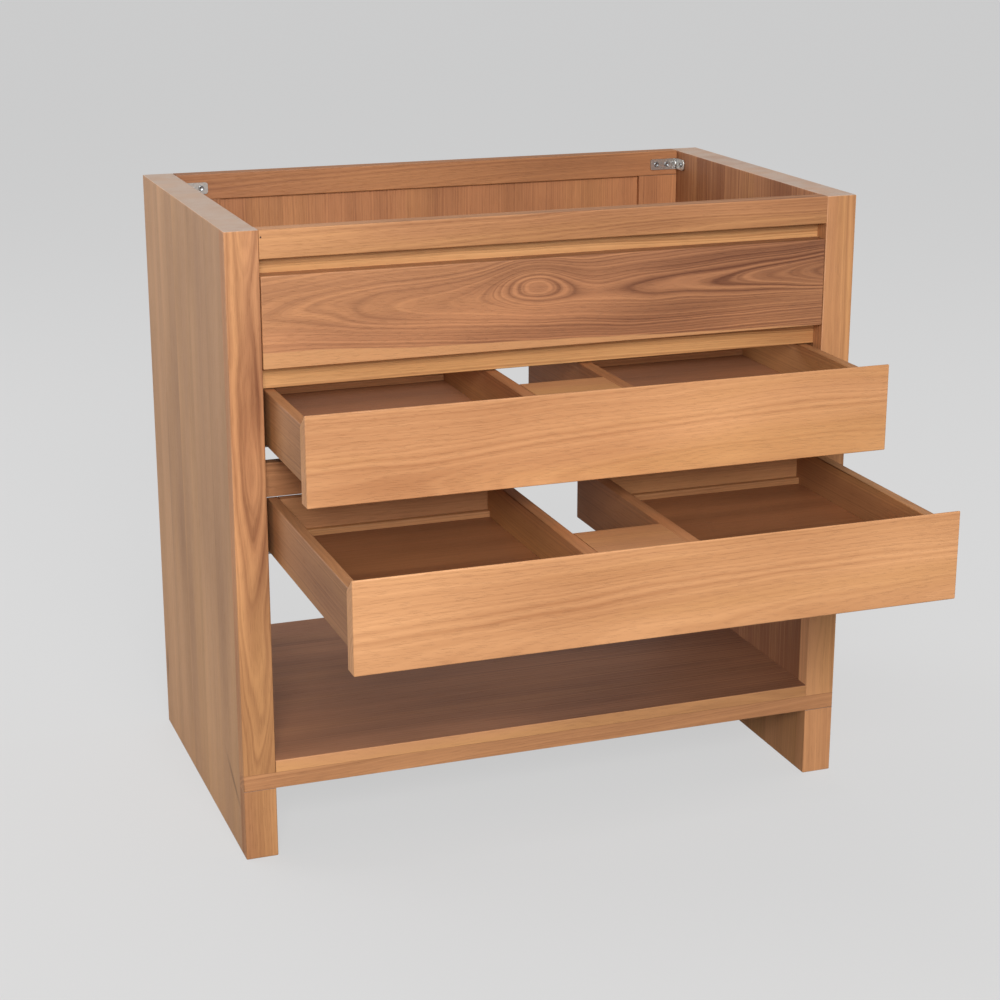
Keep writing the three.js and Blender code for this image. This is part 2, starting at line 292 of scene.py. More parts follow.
# %% Knot, sapwood and mark
FIGURED_START = 3.0
KNOT_LENGTH_THROUGH = 0.05
SAP_WAVES = (6.0, 2.0)
SAP_WAVE_HEIGHT = 0.012


def bell(recipe, squared):
    """1 where the squared distance is 0, falling smoothly to 0."""
    return recipe.math_of("EXPONENT", squared * -1.0)


def around_knot(recipe, place, at, size):
    """A smooth hill, 1 at a knot and 0 away from it."""
    spot = recipe.add("Mapping", {"vector_type": "TEXTURE"}, {
        "Vector": place,
        "Location": (FIGURED_START + at[0], at[1], at[2]),
        "Scale": (size[0], size[1], KNOT_LENGTH_THROUGH),
    })
    far = recipe.add("VectorMath", {"operation": "LENGTH"}, {0: spot}, output=1)
    return bell(recipe, far * far)


def sapwood_mask(recipe, place, edge, slope, soft):
    """1 below a slanting, slightly wavy line across the board, where the tree's pale outer wood begins."""
    run = recipe.axis(place, X)
    across = recipe.axis(place, Y)
    wave = recipe.fibrous(place, SAP_WAVES, detail=1.0)
    height = across - (run - FIGURED_START) * slope - (wave - 0.5) * SAP_WAVE_HEIGHT
    return 1 - height.rise(edge - soft, edge + soft)


def dark_mark(recipe, at, size, lean):
    """A short dark streak on a side panel: a slim hill round a point, turned in the panel's own plane."""
    spot = recipe.add("Mapping", {"vector_type": "TEXTURE"}, {
        "Vector": recipe.object_place(),
        "Location": at,
        "Rotation": (lean, 0, 0),
        "Scale": (1.0, size[0], size[1]),
    })
    back = recipe.axis(spot, Y)
    up = recipe.axis(spot, Z)
    return bell(recipe, back * back + up * up)


print("a figured board starts", FIGURED_START, "m along its log")

# %% [markdown]
# ## Teak as a solid
# Real wood is a solid pattern. A log is a bundle of nested tubes, one a year, and a board shows the
# tubes that the saw went through: arches where it ran along the outside of the log, straight stripes
# where it ran towards the heart, arcs on the ends. An image wrapped round a box gets the ends and the
# corners wrong, so the pattern here is worked out from each point's distance to the heart of the log.
#
# Each board carries its own coordinates in the attribute `grain`: X runs along the fibres, and Y and Z
# are measured from the heart. The log is never straight, so the coordinates sway a little first.

# %% Years of growth
SWAY_REPEATS = (1.8, 8.0)
CENTRE_OF_NOISE = (0.5, 0.5, 0.5)
ACROSS_THE_LOG = (0, 1, 1)


def swayed(recipe, place, sway):
    """The place in a log that bends this way and that by up to the sway."""
    drift = recipe.fibrous(place, SWAY_REPEATS, detail=3.0, output=1)
    centred = recipe.vector_of("SUBTRACT", drift, CENTRE_OF_NOISE)
    shift = recipe.add("VectorMath", {"operation": "SCALE"}, {0: centred, "Scale": 2 * sway})
    return recipe.vector_of("ADD", place, shift)


def from_the_heart(recipe, place, knots):
    """How far each point lies from the heart of the log, and how scorched the wood is round its knots."""
    flat = recipe.vector_of("MULTIPLY", place, ACROSS_THE_LOG)
    depth = recipe.add("VectorMath", {"operation": "LENGTH"}, {0: flat}, output=1)
    scorch = 0.0
    for knot in knots:
        hill = around_knot(recipe, place, knot["at"], knot["size"])
        depth = depth - hill * knot["height"]
        scorch = hill * (1 - hill) * knot["dark"] + scorch
    return depth, scorch


def by_the_year(recipe, years, detail):
    """Noise that changes with the years only, so that each ring has its own shade all round."""
    values = {"W": years, "Detail": detail, "Roughness": 0.5}
    return recipe.add("TexNoise", {"noise_dimensions": "1D"}, values)


print("a log sways", SWAY_REPEATS[0], "times a metre")

# %% [markdown]
# ## The look of oiled teak
# On real teak the rings are only part of what shows. There are thin dark lines between some years,
# streaks and ribbons along the fibres, wide golden patches, fine fibres and open pores. Each is one noise,
# stretched along the grain, with its own share of the darkness. A single strong noise would be simpler,
# but it looks like printed film. Oil fills the pores unevenly, so roughness and bump follow them. The
# fibres make the wood a little duller on average, and as much is taken off the dullness first.
#
# `tone` makes one board darker than the next or towards one end, and it also carries painted shade and
# painted light on chosen faces. The tops of the uprights are painted pale: partly sawn end grain, partly a
# painted sheen of the light from above.

# %% Teak recipe
STREAKS, RIBBONS, CLOUDS, LINE_FADE = (2.0, 40.0), (1.3, 17.0), (3.2, 9.0), (5.0, 14.0)
FIBRES, PORES, GOLDEN_PATCHES, MOTTLE = (16.0, 800.0), (40.0, 1300.0), (1.1, 13.0), (30.0, 30.0)
SHARE = {"band": 1.7, "streak": 0.50, "ribbon": 0.48, "cloud": 0.70, "fibre": 0.09, "pore": 0.06}
EVEN_DARKNESS = 0.38
FULL_CONTRAST = 0.75
STEP = {"fade": (0.40, 0.62), "pore": (0.64, 0.74), "golden": (0.42, 0.66), "mottle": (0.3, 0.7)}
LINE_OFFSET = 7.3
LINE_WIDTH = (0.004, 0.045)
RELIEF = {"fibre": 0.5, "streak": 0.3, "pore": 0.8, "line": 0.15}
RELIEF_DEPTH = 0.0002
ROUGHER = {"fibre": 0.16, "pore": 0.12}
FIBRES_ADD = 0.06
END_AND_SHEEN_PALENESS, END_AND_SHEEN_MOTTLE = 0.60, 0.30
SAPWOOD, SAPWOOD_STRENGTH = colour(216, 160, 108), 0.7
MARK_BROWN, MARK_STRENGTH = colour(92, 60, 42), 0.6
# A pale grey for the tops of the uprights: end grain with a painted sheen of the light from above.
END_GRAIN_AND_SHEEN = colour(204, 182, 166)
GOLD = colour(222, 168, 98)


def teak(name, pale, deep, year=0.014, bands=0.5, lines=0.08, streaks=0.6, sway=0.010, dullness=0.50,
         glow=0.35, knots=(), marks=(), sap=None):
    """One finish of teak. A year is in metres. Bands, lines, streaks and glow say how strong each one is,
    and dullness is the roughness of the oiled wood between the pores."""
    recipe = Recipe(name)
    place = recipe.add("Attribute", {"attribute_name": "grain"}, {}, output=1)
    tone = recipe.add("Attribute", {"attribute_name": "tone"}, {}, output=2)
    end_and_sheen = recipe.add("Attribute", {"attribute_name": "end_and_sheen"}, {}, output=2)

    bent = swayed(recipe, place, sway)
    depth, scorch = from_the_heart(recipe, bent, knots)
    band = by_the_year(recipe, depth / year, detail=2.0)
    seam = by_the_year(recipe, depth / (2 * year) + LINE_OFFSET, detail=1.0)
    line = 1 - (seam - 0.5).size().rise(*LINE_WIDTH)

    streak = recipe.fibrous(bent, STREAKS, roughness=0.45)
    ribbon = recipe.fibrous(place, RIBBONS, detail=1.0)
    cloud = recipe.fibrous(place, CLOUDS, detail=1.0)
    fade = recipe.fibrous(place, LINE_FADE, detail=0.0).rise(*STEP["fade"])
    fibre = recipe.fibrous(place, FIBRES)
    pore = recipe.fibrous(place, PORES, detail=0.0).rise(*STEP["pore"])

    contrast = recipe.math_of("MINIMUM", tone, FULL_CONTRAST)
    dark = (band - 0.5) * contrast * (SHARE["band"] * bands) + line * fade * lines
    dark = dark + (streak - 0.5) * (SHARE["streak"] * streaks) + (ribbon - 0.5) * SHARE["ribbon"]
    dark = dark + (cloud - 0.5) * SHARE["cloud"] + (fibre - 0.5) * SHARE["fibre"] + pore * SHARE["pore"]
    dark = dark + (tone - 0.5) + scorch + EVEN_DARKNESS

    golden = recipe.fibrous(bent, GOLDEN_PATCHES).rise(*STEP["golden"])
    base = recipe.blend(dark.clamped(), recipe.blend(golden * glow, pale, GOLD), deep)
    if sap:
        base = recipe.blend(sapwood_mask(recipe, place, **sap) * SAPWOOD_STRENGTH, base, SAPWOOD)
    for mark in marks:
        base = recipe.blend(dark_mark(recipe, **mark) * MARK_STRENGTH, base, MARK_BROWN)
    mottle = recipe.fibrous(place, MOTTLE).rise(*STEP["mottle"])
    # The tops of the uprights are painted pale and grey: partly end grain, partly a painted sheen of the
    # light from above.
    base = recipe.blend(end_and_sheen * (mottle * END_AND_SHEEN_MOTTLE + END_AND_SHEEN_PALENESS), base, END_GRAIN_AND_SHEEN)
    raised = fibre * RELIEF["fibre"] + streak * RELIEF["streak"]
    height = raised - pore * RELIEF["pore"] - line * RELIEF["line"]
    rough = fibre * ROUGHER["fibre"] + pore * ROUGHER["pore"] + (dullness - FIBRES_ADD)
    return recipe.finish(base_color=base, roughness=rough.clamped(), normal=recipe.bump(height, RELIEF_DEPTH))


print("shares of the darkness:", SHARE)

# %% [markdown]
# ## Eleven finishes
# The boards came from several logs and were sanded and oiled at different times, so one teak is not
# enough. Fronts are the palest, drawer floors and the shelf the brownest; the shelf's brown is in part
# painted shade from the drawers above it. Only the false front is cut for its figure: wide arches, a knot
# and a pale edge. One recipe makes all eleven. Separate node trees would drift apart, and then the cabinet
# would look like a mix of woods.

# %% Finishes
SIDE_MARKS = [
    {"at": (0, -0.006, 0.092), "size": (0.038, 0.0045), "lean": 0.60},
    {"at": (0, 0.444, 0.100), "size": (0.005, 0.026), "lean": 0.12},
]
STILE_KNOT = {"at": (0.42, 0.016, 0.030), "size": (0.130, 0.024), "height": 0.006, "dark": 1.3}
FRONT_KNOT = {"at": (0.372, 0.021, 0.038), "size": (0.052, 0.030), "height": 0.017, "dark": 0.40}
FRONT_SAPWOOD = {"edge": -0.0535, "slope": -0.028, "soft": 0.0012}
FINISHES = {
    "front": teak("teak_front", colour(234, 174, 122), colour(158, 98, 56), year=0.022, bands=0.6,
                  lines=0.02, sway=0.020, streaks=0.5),
    "case": teak("teak_case", colour(222, 160, 110), colour(134, 82, 48), year=0.018, bands=0.6, sway=0.016),
    "stile": teak("teak_stile", colour(226, 162, 112), colour(128, 76, 44), year=0.013, bands=0.75,
                  lines=0.04, sway=0.016, knots=[STILE_KNOT]),
    "side": teak("teak_side", colour(216, 166, 122), colour(140, 98, 70), bands=0.6, lines=0.03,
                 sway=0.014, glow=0.18, marks=SIDE_MARKS),
    "panel": teak("teak_panel", colour(200, 136, 90), colour(124, 74, 44), bands=0.6, lines=0.03,
                  streaks=0.7, glow=0.15),
    "sap": teak("teak_sapwood", colour(228, 174, 116), colour(160, 106, 62), bands=0.8, lines=0.05),
    "drawer": teak("teak_drawer_side", colour(206, 148, 100), colour(126, 78, 46)),
    "inside": teak("teak_inside", colour(196, 134, 88), colour(112, 68, 40)),
    "floor": teak("teak_floor", colour(172, 112, 73), colour(98, 58, 34), dullness=0.42, glow=0.05),
    # The shelf's finish is darker than the case in part as painted shade from the drawers above it.
    "shelf": teak("teak_shelf", colour(188, 130, 92), colour(96, 56, 35), bands=0.7, glow=0.08),
    "figured": teak("teak_figured", colour(204, 142, 98), colour(108, 62, 38), year=0.0105, bands=0.85,
                    lines=0.10, streaks=0.7, sway=0.015, glow=0.10, knots=[FRONT_KNOT], sap=FRONT_SAPWOOD),
}
print("finishes:", sorted(FINISHES))

# %% [markdown]
# ## From block to board
# Most blocks are a box with twelve triangles, and a few have a slope, a groove or a notch. A joiner would
# plane the exposed edges and leave the edges inside a joint sharp. The same rule works here: an edge that
# lies on another board is left alone, and every other edge gets a small rounded bevel. A Bevel modifier
# could do it by angle, but it would also round the edges in the joints and open gaps there.

# %% Finding the edges to ease
TOUCH = 0.0006
EASE = 0.0014
WELD = 1e-5
FLAT = math.radians(1)
SHARP = math.radians(20)
ALONG_AN_EDGE = (0.25, 0.5, 0.75)
METAL = {"zinc_plate", "slide_steel"}
NODE_BODY = {n: b for b, nodes in frame["record"]["behaviour"]["bodies"].items() for n in nodes}
SLOTS = {s["node"]: s["material_slot"] for s in frame["record"]["subparts"]}
WOODEN = [n for n in sorted(frame["nodes"]) if SLOTS[n] not in METAL]
BOXES = {n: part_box(n) for n in WOODEN}


def lies_on(point, node):
    low, high = BOXES[node]
    return all(low[i] - TOUCH <= point[i] <= high[i] + TOUCH for i in (X, Y, Z))


def in_a_joint(edge, node):
    """True if at least two of three points along the edge lie on a neighbouring board."""
    a, b = (v.co for v in edge.verts)
    neighbours = [n for n in WOODEN if n != node and NODE_BODY[n] == NODE_BODY[node]]
    covered = [any(lies_on(a.lerp(b, t), n) for n in neighbours) for t in ALONG_AN_EDGE]
    return sum(covered) >= 2


def merged_copy(node):
    """A bmesh of a block with its loose triangles joined back into whole flat faces."""
    bm = bmesh.new()
    bm.from_mesh(frame["nodes"][node].data)
    bmesh.ops.remove_doubles(bm, verts=bm.verts, dist=WELD)
    bmesh.ops.dissolve_limit(bm, angle_limit=FLAT, verts=bm.verts, edges=bm.edges)
    bmesh.ops.recalc_face_normals(bm, faces=bm.faces)
    return bm


def ease_edges(bm, node, radius):
    """Rounds every exposed edge of a board. Only the rounded strips are shaded smooth."""
    corners = [e for e in bm.edges if len(e.link_faces) == 2 and e.calc_face_angle() > SHARP]
    exposed = [e for e in corners if not in_a_joint(e, node)]
    if exposed:
        rounded = bmesh.ops.bevel(bm, geom=exposed, offset=radius, offset_type="OFFSET", segments=4,
                                  profile=0.5, affect="EDGES", clamp_overlap=True, material=-1)
        for face in rounded["faces"]:
            face.smooth = True


print("wooden boards:", len(WOODEN), "of", len(frame["nodes"]), "blocks")

# %% [markdown]
# ## Laying out the grain
# Grain follows the long way of nearly every board, because wood is strong along it. Wide boards are glued
# up from staves, so their mesh is cut at the glue joints and each stave gets its own piece of the log.
# The heart of the log lies far to one side of a board with straight stripes and just behind a board with
# arches. A UV map could place a picture of grain instead, but no picture runs on round an edge.

# %% Grain, tone and end grain on a board
CUT = 1e-6
LOG_STARTS = (5, 40)
NEAR_ONE = (0.8, 1.25)
STAVE_TONE = 0.06
MIDDLE_TONE = 0.5
FACING = 0.7


def slice_at(bm, axis, level):
    """Cuts the mesh along a plane square to an axis."""
    at, square = [0.0, 0.0, 0.0], [0.0, 0.0, 0.0]
    at[axis] = level
    square[axis] = 1.0
    geometry = bm.verts[:] + bm.edges[:] + bm.faces[:]
    bmesh.ops.bisect_plane(bm, geom=geometry, dist=CUT, plane_co=at, plane_no=square)


def saw_staves(seed, count, heart, start):
    """Where in its log each stave was sawn, and how much darker it is than the others."""
    dice = random.Random(seed)
    return [
        {
            "start": dice.uniform(*LOG_STARTS) if start is None else start,
            "heart": heart[0] if count == 1 else dice.choice((-1, 1)) * heart[0] * dice.uniform(*NEAR_ONE),
            "deep": heart[1] * (1 if count == 1 else dice.uniform(*NEAR_ONE)),
            "tone": dice.uniform(-1, 1) * (STAVE_TONE if count > 1 else 0.0),
        }
        for _ in range(count)
    ]


def lay_grain(bm, node, along, staves, lean, tones, painted_shading):
    """Writes grain, tone (with any painted shade or light) and the pale tops (end grain and a painted sheen)
    on a board, whose shortest other side is taken as its thickness.
    """
    low, high = BOXES[node]
    size = high - low
    through = min((a for a in (X, Y, Z) if a != along), key=lambda a: size[a])
    wide = X + Y + Z - along - through
    width = size[wide] / len(staves)
    for i in range(1, len(staves)):
        slice_at(bm, wide, low[wide] + i * width)
    grain = bm.loops.layers.float_vector.new("grain")
    tone = bm.loops.layers.float.new("tone")
    end_and_sheen = bm.faces.layers.float.new("end_and_sheen")
    for face in bm.faces:
        offset = face.calc_center_median()[wide] - low[wide]
        index = min(len(staves) - 1, max(0, int(offset / width)))
        stave = staves[index]
        centre = low[wide] + (index + 0.5) * width
        # Only the upward-facing ends are marked: partly end grain, partly a painted sheen from above.
        face[end_and_sheen] = 1.0 if along == Z and face.normal.z > FACING else 0.0
        for loop in face.loops:
            co = loop.vert.co
            run = co[along] - low[along]
            darker = tones[0] + (tones[1] - tones[0]) * run / size[along]
            # Painted shade or painted light on chosen faces is added to the tone.
            painted_here = painted_shading(face, co) if painted_shading else 0.0
            loop[tone] = MIDDLE_TONE + stave["tone"] + painted_here + darker
            loop[grain] = Vector((
                run + stave["start"],
                co[wide] - centre + stave["heart"],
                co[through] - low[through] + stave["deep"] - lean * run,
            ))


print("a stave is up to", STAVE_TONE, "darker or paler than its board")

# %% [markdown]
# ## One finished board
# This is the step that every board goes through, in a joiner's order: take the block, ease its edges, lay
# the grain, oil it. The finished board then rides on the same body as its block and takes its place. It
# could be done to the block itself, but a block kept whole stays a true record of the sizes.

# %% Dress one board
STRIPES = (0.22, 0.05)
ARCHES = (0.02, 0.035)
FULL_ARCHES = (-0.002, 0.045)
LOW_ARCHES = (-0.014, 0.055)
WIDE_ARCHES = (0.05, 0.05)


def dress(node, along, finish, count=1, heart=STRIPES, lean=0.0, start=None, tones=(0, 0), radius=EASE,
          cut_at=(), painted_shading=None, lip=None):
    """Makes the board that stands for a block. Heart is where the log's heart lies, lean how it slants,
    tones the darkness at both ends, and a lip another finish on the front edge."""
    bm = merged_copy(node)
    ease_edges(bm, node, radius)
    for level in cut_at:
        slice_at(bm, Z, level)
    staves = saw_staves(sum(map(ord, node)), count, heart, start)
    lay_grain(bm, node, along, staves, lean, tones, painted_shading)
    mesh = bpy.data.meshes.new(node + "_board")
    mesh.materials.append(FINISHES[finish])
    if lip:
        mesh.materials.append(FINISHES[lip])
        for face in bm.faces:
            face.material_index = 1 if face.normal.y < -FACING else 0
    bm.to_mesh(mesh)
    bm.free()
    board = bpy.data.objects.new(node + "_board", mesh)
    scene.collection.objects.link(board)
    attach(board, NODE_BODY[node])
    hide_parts(node)


print("heart of the log across and behind: stripes", STRIPES, "arches", ARCHES)

# %% [markdown]
# ## The case
# The side panels and the shelf are glued up from staves, because no plank is that wide. The stiles and
# rails of the face frame are single boards, and so are the two pale strips that show in the grooves above
# and below the false front. The inner faces of the side panels above the shelf get painted shade, most of
# all just above the shelf, where the drawers shade them. A second material would also do it, but painted
# shade is one number on each face and needs no extra finish.

# %% Dress the case
SHELF_UNDERSIDE = BOXES["shelf"][0].z
# Painted shade on the inner faces of the side panels: stronger up to this height, weaker above it in the
# basin bay.
SHELF_SHADE_TOP = 0.45
SHELF_SHADE, BAY_SHADE = 0.62, 0.42
# Painted light: the front edge of the shelf is made paler than its shaded top.
LIP_PAINTED_LIGHT = -0.34
LEVEL_ROUNDING = 0.001


def inner_face_painted_shade(sign):
    """The painted shade on the inner face of a side panel, for the left side with 1 and the right with -1."""
    def painted_shading(face, point):
        if face.normal.x * sign < FACING or face.calc_center_median().z < SHELF_UNDERSIDE:
            return 0.0
        return SHELF_SHADE if point.z < SHELF_SHADE_TOP - LEVEL_ROUNDING else BAY_SHADE
    return painted_shading


# Painted light on the front edge of the shelf.
def lip_painted_light(face, point):
    return LIP_PAINTED_LIGHT if face.normal.y < -FACING else 0.0


# The inner face of each side panel gets painted shade above the shelf.
for side, sign, finish in (("left", 1, "side"), ("right", -1, "case")):
    dress(f"{side}_side_panel", Z, finish, count=5, cut_at=(SHELF_UNDERSIDE, SHELF_SHADE_TOP),
          painted_shading=inner_face_painted_shade(sign))
    dress(f"{side}_leg_front", Z, "case", tones=(-0.03, -0.03))
    dress(f"{side}_back_stile", Z, "panel", tones=(0.05, 0.05))
    dress(f"{side}_shelf_cleat", Y, "inside")
dress("left_stile", Z, "stile", heart=FULL_ARCHES, lean=0.02, start=FIGURED_START, tones=(0.12, -0.02))
dress("right_stile", Z, "case", heart=ARCHES, tones=(-0.10, 0.06))
dress("top_front_rail", X, "case", heart=ARCHES, lean=0.03, tones=(-0.12, 0.30))
dress("bottom_rail", X, "case", heart=ARCHES, lean=0.04, tones=(-0.04, 0.06))
dress("mid_rail", X, "case", heart=ARCHES, tones=(0.12, 0.12))
dress("back_top_rail", X, "panel", heart=ARCHES, lean=0.04, tones=(0.02, 0.02))
dress("back_lower_rail", X, "panel", heart=ARCHES, tones=(0.05, 0.05))
dress("upper_inner_rail", X, "sap", tones=(-0.05, 0.22))
dress("lower_inner_rail", X, "sap", tones=(-0.08, 0.34))
dress("shelf_rear_rail", X, "inside")
# The shelf's top carries painted shade: the darker shelf finish and a ramp darker towards the right. Its
# front edge carries painted light: the paler case finish, made paler still.
dress("shelf", X, "shelf", count=5, tones=(-0.12, 0.40), painted_shading=lip_painted_light, lip="case")
dress("back_panel", Z, "panel", count=7)
dress("false_front", X, "figured", heart=LOW_ARCHES, lean=0.045, start=FIGURED_START,
      tones=(-0.06, 0.34))

# %% [markdown]
# ## The drawers
# Each drawer is a U-shaped tray. The notch in the middle of its back clears the waste pipe, so it has
# two partitions, two backs and a short cross-piece where a plain drawer has one back. Both drawers are
# the same, so one loop dresses them. Copying the finished boards would repeat the same grain twice.

# %% Dress the drawers
FRONT_EASE = 0.003
BATTEN_EASE = 0.002

for drawer in ("upper", "lower"):
    part = f"{drawer}_drawer_"
    dress(part + "front", X, "front", heart=WIDE_ARCHES, lean=0.03, radius=FRONT_EASE)
    dress(part + "bridge", X, "drawer")
    dress(part + "cross_piece", X, "drawer")
    dress(part + "bottom", X, "floor", count=4)
    for side in ("left", "right"):
        dress(f"{part}{side}_side", Y, "drawer", tones=(0.10, 0.04))
        dress(f"{part}{side}_partition", Y, "inside")
        dress(f"{part}{side}_back", X, "drawer", tones=(-0.12, -0.12))
        dress(f"{part}{side}_batten", X, "drawer", radius=BATTEN_EASE)

# %% [markdown]
# ## Steel and zinc
# The slides are rolled from galvanised strip, which has a faint streak along the rolling direction. The
# corner brackets are zinc plated, which is duller and a little blotchy. Both could be one grey metal, but
# then a bracket beside a slide would look cut from the same sheet. The slides keep the shape that the
# engineer gave them, because every bend of a rolled section is in their blocks already.

# %% Metals
ROLLED_ALONG_Y = (900, 9, 900)
MIDDLE_GREYS = (0.3, 0.7)
STEEL_CLOUDS, STEEL_ROUGH, STEEL_STREAK, STEEL_DEPTH = 60, 0.28, 0.2, 0.00008
ZINC_CLOUDS, ZINC_ROUGH, ZINC_BLOTCH, ZINC_DEPTH = 220, 0.25, 0.25, 0.0001


def rolled_steel():
    recipe = Recipe("galvanised_steel")
    place = recipe.object_place()
    streak = recipe.noise(recipe.vector_of("MULTIPLY", place, ROLLED_ALONG_Y))
    cloud = recipe.noise(place, scale=STEEL_CLOUDS, detail=3)
    base = recipe.blend(cloud.rise(*MIDDLE_GREYS), colour(176, 179, 182), colour(142, 146, 150))
    rough = streak * STEEL_STREAK + STEEL_ROUGH
    relief = recipe.bump(streak, STEEL_DEPTH)
    return recipe.finish(base_color=base, metallic=1.0, roughness=rough, normal=relief)


def zinc_plate():
    recipe = Recipe("zinc_plate")
    cloud = recipe.noise(recipe.object_place(), scale=ZINC_CLOUDS, detail=4)
    base = recipe.blend(cloud.rise(*MIDDLE_GREYS), colour(226, 226, 222), colour(188, 190, 190))
    rough = cloud * ZINC_BLOTCH + ZINC_ROUGH
    relief = recipe.bump(cloud, ZINC_DEPTH)
    return recipe.finish(base_color=base, metallic=1.0, roughness=rough, normal=relief)


STEEL, ZINC = rolled_steel(), zinc_plate()
for name, block in frame["nodes"].items():
    if SLOTS[name] in METAL:
        block.data.materials.clear()
        block.data.materials.append(ZINC if SLOTS[name] == "zinc_plate" else STEEL)
print("metal pieces:", sum(SLOTS[n] in METAL for n in frame["nodes"]))

# %% [markdown]
# ## Screw heads
# A screw head is a low dome with a recess for the driver. A disc is drawn up, its rim is rounded, and the
# crown is pressed in. A sphere cut in half would be quicker, but it has no flat rim and no recess.

# %% Keeping a piece, and screw heads
RIM_ROUND, RECESS_RIM, RECESS_DEPTH = 0.7, 0.38, 0.7
SHADED_FLAT = 0.25


def keep(bm, name, body, slot, material, *blocks):
    """Turns a finished bmesh into a piece that rides on a body. Small rounded faces are shaded smooth."""
    bmesh.ops.recalc_face_normals(bm, faces=bm.faces)
    flat_from = max(f.calc_area() for f in bm.faces) * SHADED_FLAT
    for face in bm.faces:
        face.smooth = face.calc_area() < flat_from
    mesh = bpy.data.meshes.new(name)
    mesh.materials.append(material)
    bm.to_mesh(mesh)
    bm.free()
    piece = bpy.data.objects.new(name, mesh)
    scene.collection.objects.link(piece)
    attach(piece, body)
    if blocks:
        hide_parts(*blocks)


def screw_head(bm, at, out, radius=0.0042, tall=0.0013):
    """Adds a round head that stands on a surface at a point and faces out."""
    turn = Vector((0, 0, 1)).rotation_difference(out).to_matrix().to_4x4()
    disc = bmesh.ops.create_circle(bm, cap_ends=True, segments=24, radius=radius,
                                   matrix=Matrix.Translation(at) @ turn)
    drawn = bmesh.ops.extrude_face_region(bm, geom=[disc["verts"][0].link_faces[0]])["geom"]
    top = [f for f in drawn if isinstance(f, bmesh.types.BMFace)][0]
    bmesh.ops.translate(bm, verts=top.verts, vec=out * tall)
    bmesh.ops.bevel(bm, geom=list(top.edges), offset=tall * RIM_ROUND, offset_type="OFFSET", segments=3,
                    profile=0.5, affect="EDGES", material=-1)
    crown = min(bm.faces, key=lambda f: (f.calc_center_median() - (at + out * tall)).length)
    bmesh.ops.inset_region(bm, faces=[crown], thickness=radius * RECESS_RIM)
    bmesh.ops.translate(bm, verts=crown.verts, vec=out * -tall * RECESS_DEPTH)


trial = bmesh.new()
screw_head(trial, Vector((0, 0, 0)), Vector((0, 0, 1)))
print("faces on one screw head:", len(trial.faces))
trial.free()

# %% [markdown]
# ## Corner brackets
# A bracket is one strip of plated steel, bent square, that ties the back rail to a side panel. It could
# be two thin boxes, but a strip that is bent and then given its thickness has a round bend and round
# ends, as a press leaves them.

# %% Bent brackets and their screws
STRIP = 0.002
END_ROUND, BEND_ROUND = 0.004, 0.003
RAIL_SCREWS, SIDE_SCREW = (0.018, 0.036), 0.019


def bent_strip(corner, rail_end, side_end, height):
    """A vertical strip along two walls of a corner. Its thickness grows away from the walls."""
    bm = bmesh.new()
    path = [bm.verts.new(point) for point in (rail_end, corner, side_end)]
    edges = [bm.edges.new(pair) for pair in zip(path, path[1:])]
    raised = bmesh.ops.extrude_edge_only(bm, edges=edges)["geom"]
    top = [v for v in raised if isinstance(v, bmesh.types.BMVert)]
    bmesh.ops.translate(bm, verts=top, vec=(0, 0, height))
    ends = [v for v in bm.verts if len(v.link_edges) == 2]
    bmesh.ops.bevel(bm, geom=ends, offset=END_ROUND, segments=4, profile=0.5, affect="VERTICES", material=-1)
    bend = [e for e in bm.edges if all((v.co.xy - corner.xy).length < WELD for v in e.verts)]
    bmesh.ops.bevel(bm, geom=bend, offset=BEND_ROUND, segments=4, profile=0.5, affect="EDGES", material=-1)
    inward = (rail_end + side_end - 2 * corner).normalized()
    bmesh.ops.recalc_face_normals(bm, faces=bm.faces)
    if sum(f.normal.dot(inward) * f.calc_area() for f in bm.faces) > 0:
        bmesh.ops.reverse_faces(bm, faces=bm.faces)
    bmesh.ops.solidify(bm, geom=bm.faces[:], thickness=STRIP)
    return bm


def corner_bracket(side, sign):
    """Makes the plate and its three screws, and returns how far the plate stays in front of the rail."""
    node = f"{side}_corner_bracket"
    low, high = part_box(node)
    size = high - low
    corner = Vector((low.x if sign > 0 else high.x, high.y, low.z))
    rail_way, side_way = Vector((sign, 0, 0)), Vector((0, -1, 0))
    half_up = Vector((0, 0, size.z / 2))
    plate = bent_strip(corner, corner + rail_way * size.x, corner + side_way * size.y, size.z)
    clearance = high.y - max(v.co.y for v in plate.verts)
    keep(plate, node + "_plate", "cabinet", "zinc_plate", ZINC, node)
    heads = bmesh.new()
    for along in RAIL_SCREWS:
        screw_head(heads, corner + rail_way * along + side_way * STRIP + half_up, side_way)
    screw_head(heads, corner + side_way * SIDE_SCREW + rail_way * STRIP + half_up, rail_way)
    keep(heads, node + "_screws", "cabinet", "slide_steel", STEEL)
    return clearance


for side, sign in (("left", 1), ("right", -1)):
    print(side, "bracket in front of the rail by", round(corner_bracket(side, sign), 5), "m")

# %% [markdown]
# ## Front clips
# A concealed slide needs a plastic catch under each front corner of the drawer: squeeze the lever and the
# drawer lifts off. A clip could be left out, since it is seen only from below, but then the drawers would
# seem to float on their slides. It is one block with a lever pulled out of its inner face.

# %% Drawer clips
CLIP = Vector((0.026, 0.044, 0.009))
CLIP_GAP, UNDER_GAP = 0.001, 0.0004
LEVER_RIM, LEVER_OUT, LEVER_FORWARD = 0.002, 0.008, 0.004
CLIP_EASE = 0.0007
GRIT, PATCHES, DEEPER = 900, 40, 0.8
PLASTIC_ROUGH, PLASTIC_GRIT, PLASTIC_DEPTH = 0.38, 0.2, 0.00006


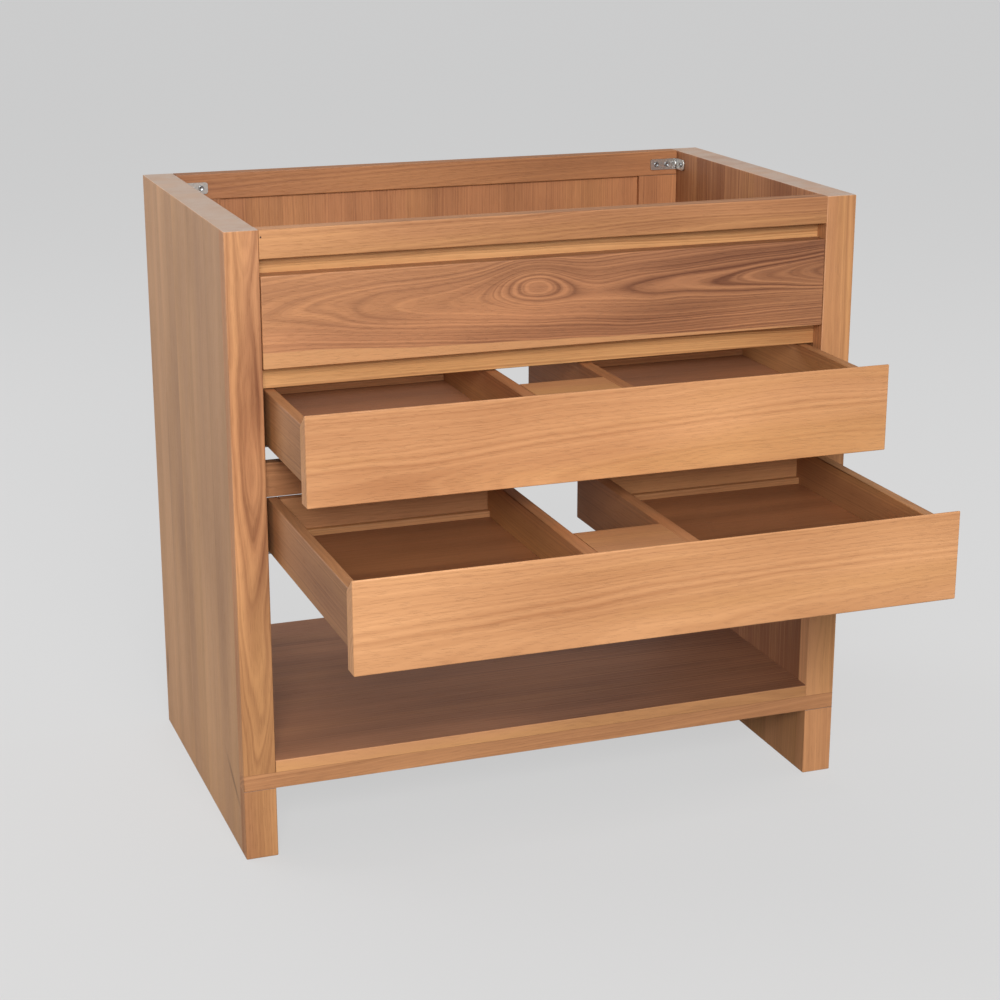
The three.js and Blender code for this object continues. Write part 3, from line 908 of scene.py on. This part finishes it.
def plastic(name, tint):
    """A dull plastic or putty with a fine grit and a slightly uneven tint."""
    recipe = Recipe(name)
    place = recipe.object_place()
    grit = recipe.noise(place, scale=GRIT)
    patch = recipe.noise(place, scale=PATCHES)
    deeper = (*[level * DEEPER for level in tint[:3]], 1)
    base = recipe.blend(patch.rise(*MIDDLE_GREYS), tint, deeper)
    rough = grit * PLASTIC_GRIT + PLASTIC_ROUGH
    return recipe.finish(base_color=base, roughness=rough, normal=recipe.bump(grit, PLASTIC_DEPTH))


def front_clip(drawer, side, sign, material):
    """A rounded block behind the drawer front and under the floor, with a lever towards the middle."""
    rails = [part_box(f"{drawer}_{side}_{kind}") for kind in ("drawer_slide", "runner", "cabinet_slide")]
    edge = max(high.x for _, high in rails) if sign > 0 else min(low.x for low, _ in rails)
    front_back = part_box(f"{drawer}_drawer_front")[1].y
    floor_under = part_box(f"{drawer}_drawer_bottom")[0].z
    middle = Vector((
        edge + sign * (CLIP_GAP + CLIP.x / 2),
        front_back + CLIP_GAP + CLIP.y / 2,
        floor_under - UNDER_GAP - CLIP.z / 2,
    ))
    bm = bmesh.new()
    bmesh.ops.create_cube(bm, size=1.0)
    bmesh.ops.scale(bm, vec=CLIP, verts=bm.verts)
    bmesh.ops.translate(bm, vec=middle, verts=bm.verts)
    lever = max(bm.faces, key=lambda f: f.normal.x * sign)
    bmesh.ops.inset_region(bm, faces=[lever], thickness=LEVER_RIM)
    pulled = bmesh.ops.extrude_face_region(bm, geom=[lever])["geom"]
    tip = [v for v in pulled if isinstance(v, bmesh.types.BMVert)]
    bmesh.ops.delete(bm, geom=[lever], context="FACES_ONLY")
    bmesh.ops.translate(bm, verts=tip, vec=(sign * LEVER_OUT, -LEVER_FORWARD, 0))
    bmesh.ops.bevel(bm, geom=bm.edges[:], offset=CLIP_EASE, offset_type="OFFSET", segments=2, profile=0.5,
                    affect="EDGES", clamp_overlap=True, material=-1)
    keep(bm, f"{drawer}_{side}_front_clip", f"{drawer}_drawer", "slide_steel", material)
    return middle


CLIP_GREY = plastic("clip_grey", colour(96, 98, 100))
for drawer in ("upper", "lower"):
    for side, sign in (("left", 1), ("right", -1)):
        at = front_clip(drawer, side, sign, CLIP_GREY)
        print(drawer, side, "clip at", [round(v, 3) for v in at])

# %% [markdown]
# ## A nail hole
# The joiner pinned the top rail with one nail and filled the hole with dark putty. A dark spot in the
# teak recipe would do, but putty is a thing of its own that stands a hair proud, so it is a tiny disc.

# %% Putty in the nail hole
FROM_RAIL_END, BELOW_RAIL_TOP = 0.0025, 0.0095
PUTTY_RADIUS, PUTTY_PROUD = 0.0012, 0.0001

rail_low, rail_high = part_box("top_front_rail")
hole = Vector((rail_low.x + FROM_RAIL_END, rail_low.y, rail_high.z - BELOW_RAIL_TOP))
dot = bmesh.new()
screw_head(dot, hole, Vector((0, -1, 0)), PUTTY_RADIUS, PUTTY_PROUD)
keep(dot, "nail_hole_putty", "cabinet", "teak_case", plastic("dark_putty", colour(70, 42, 26)))
print("nail hole at", [round(v, 4) for v in hole])
